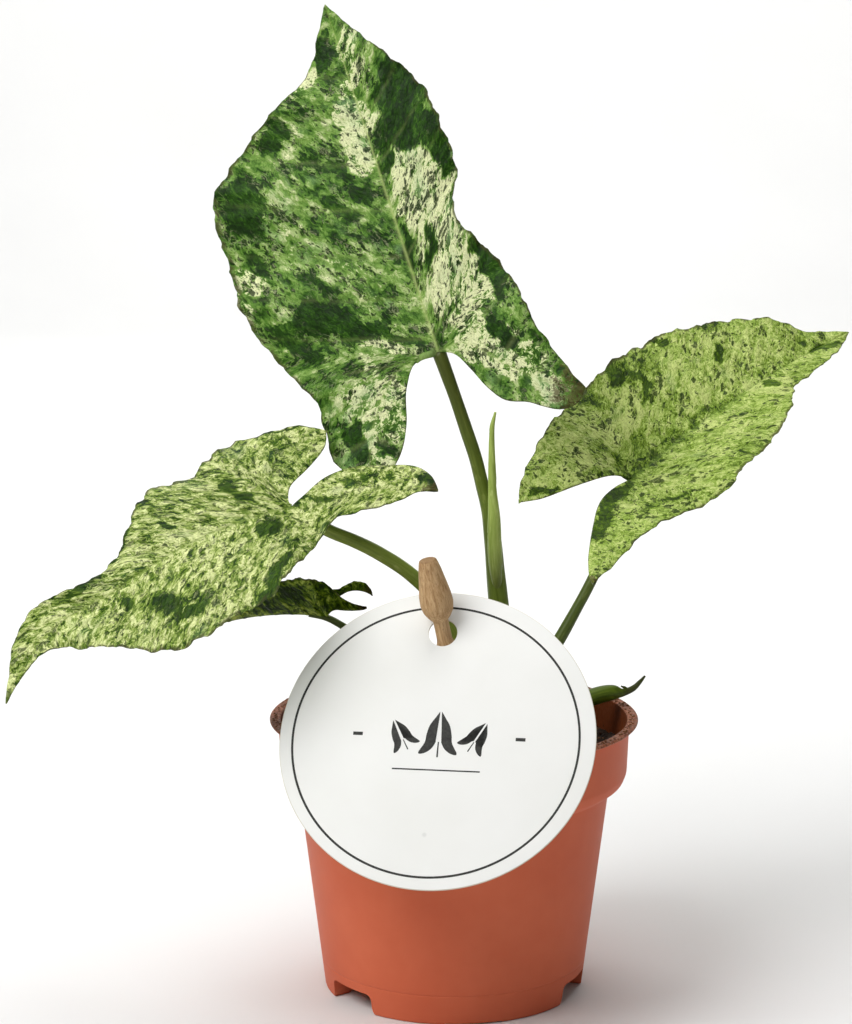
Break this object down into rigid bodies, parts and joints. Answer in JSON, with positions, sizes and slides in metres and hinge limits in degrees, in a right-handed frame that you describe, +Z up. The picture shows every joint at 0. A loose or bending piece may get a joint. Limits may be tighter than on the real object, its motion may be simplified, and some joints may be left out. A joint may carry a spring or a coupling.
{
  "type": "potted arrowhead plant",
  "caption": "Potted arrowhead plant with mottled arrow-shaped leaves on upright stalks, in a tapered nursery pot on low feet, with a round card on a wooden stake.",
  "frame": {"origin": "on the pot's axis, on the surface that the pot stands on", "axes": "+Z up along the pot's axis, -Y towards the front with the card, +X to the right seen from the front"},
  "size_m": [0.2769, 0.1674, 0.3188],
  "materials": {
    "pot": "terracotta-coloured plastic, satin",
    "soil": "dark peat mix, rough and matte",
    "stem": "green-brown stem, matte",
    "stalk": "olive green leaf stalk, satin",
    "leaf": "green mottled with cream and dark green, satin sheen",
    "dark_leaf": "dark olive mottled leaf, satin",
    "card": "white coated card, satin",
    "stake": "bare turned wood with fine grain"
  },
  "bodies": {
    "root": {"pot": "pot", "soil": "soil", "crown_stem": "stem", "stalk_tall": "stalk", "stalk_left": "stalk", "stalk_right": "stalk", "stalk_small": "stalk", "blade_tall": "leaf", "blade_left": "leaf", "blade_right": "leaf", "blade_small": "dark_leaf", "new_leaf": "leaf", "side_shoot": "stalk", "plant_card": "card", "card_stake": "stake"}
  },
  "joints": []
}
